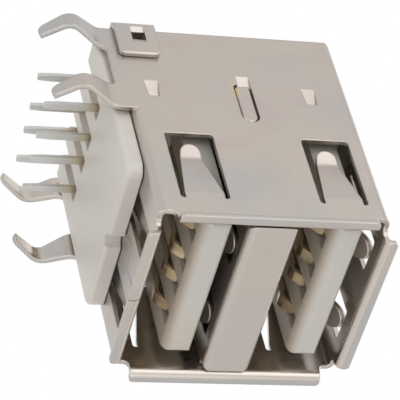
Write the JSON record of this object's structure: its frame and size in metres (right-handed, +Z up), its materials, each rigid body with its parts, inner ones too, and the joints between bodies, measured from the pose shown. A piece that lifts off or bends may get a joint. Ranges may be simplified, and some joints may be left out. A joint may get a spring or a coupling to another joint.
{
  "type": "dual usb-a socket",
  "caption": "Two-storey board socket in a folded steel shell, with a tongue and sprung contacts in each port, kinked board locks and solder tails.",
  "frame": {"origin": "on the board's surface, midway between the sides, in the front row of solder tails", "axes": "+Z up off the board, the ports open towards -Y, X across the socket"},
  "size_m": [0.0152, 0.0181, 0.0199],
  "materials": {
    "plated_steel": "nickel plated, satin",
    "divider_steel": "nickel plated, satin",
    "white_moulding": "moulded, fine satin",
    "guide_moulding": "moulded, fine satin",
    "contact_alloy": "gold flashed at the contact, tinned at the tail"
  },
  "bodies": {
    "root": {"outer_shell": "plated_steel", "port_divider": "divider_steel", "insulator": "white_moulding", "tail_guide": "guide_moulding", "contact_lower_1": "contact_alloy", "contact_lower_2": "contact_alloy", "contact_lower_3": "contact_alloy", "contact_lower_4": "contact_alloy", "contact_upper_1": "contact_alloy", "contact_upper_2": "contact_alloy", "contact_upper_3": "contact_alloy", "contact_upper_4": "contact_alloy"}
  },
  "joints": []
}
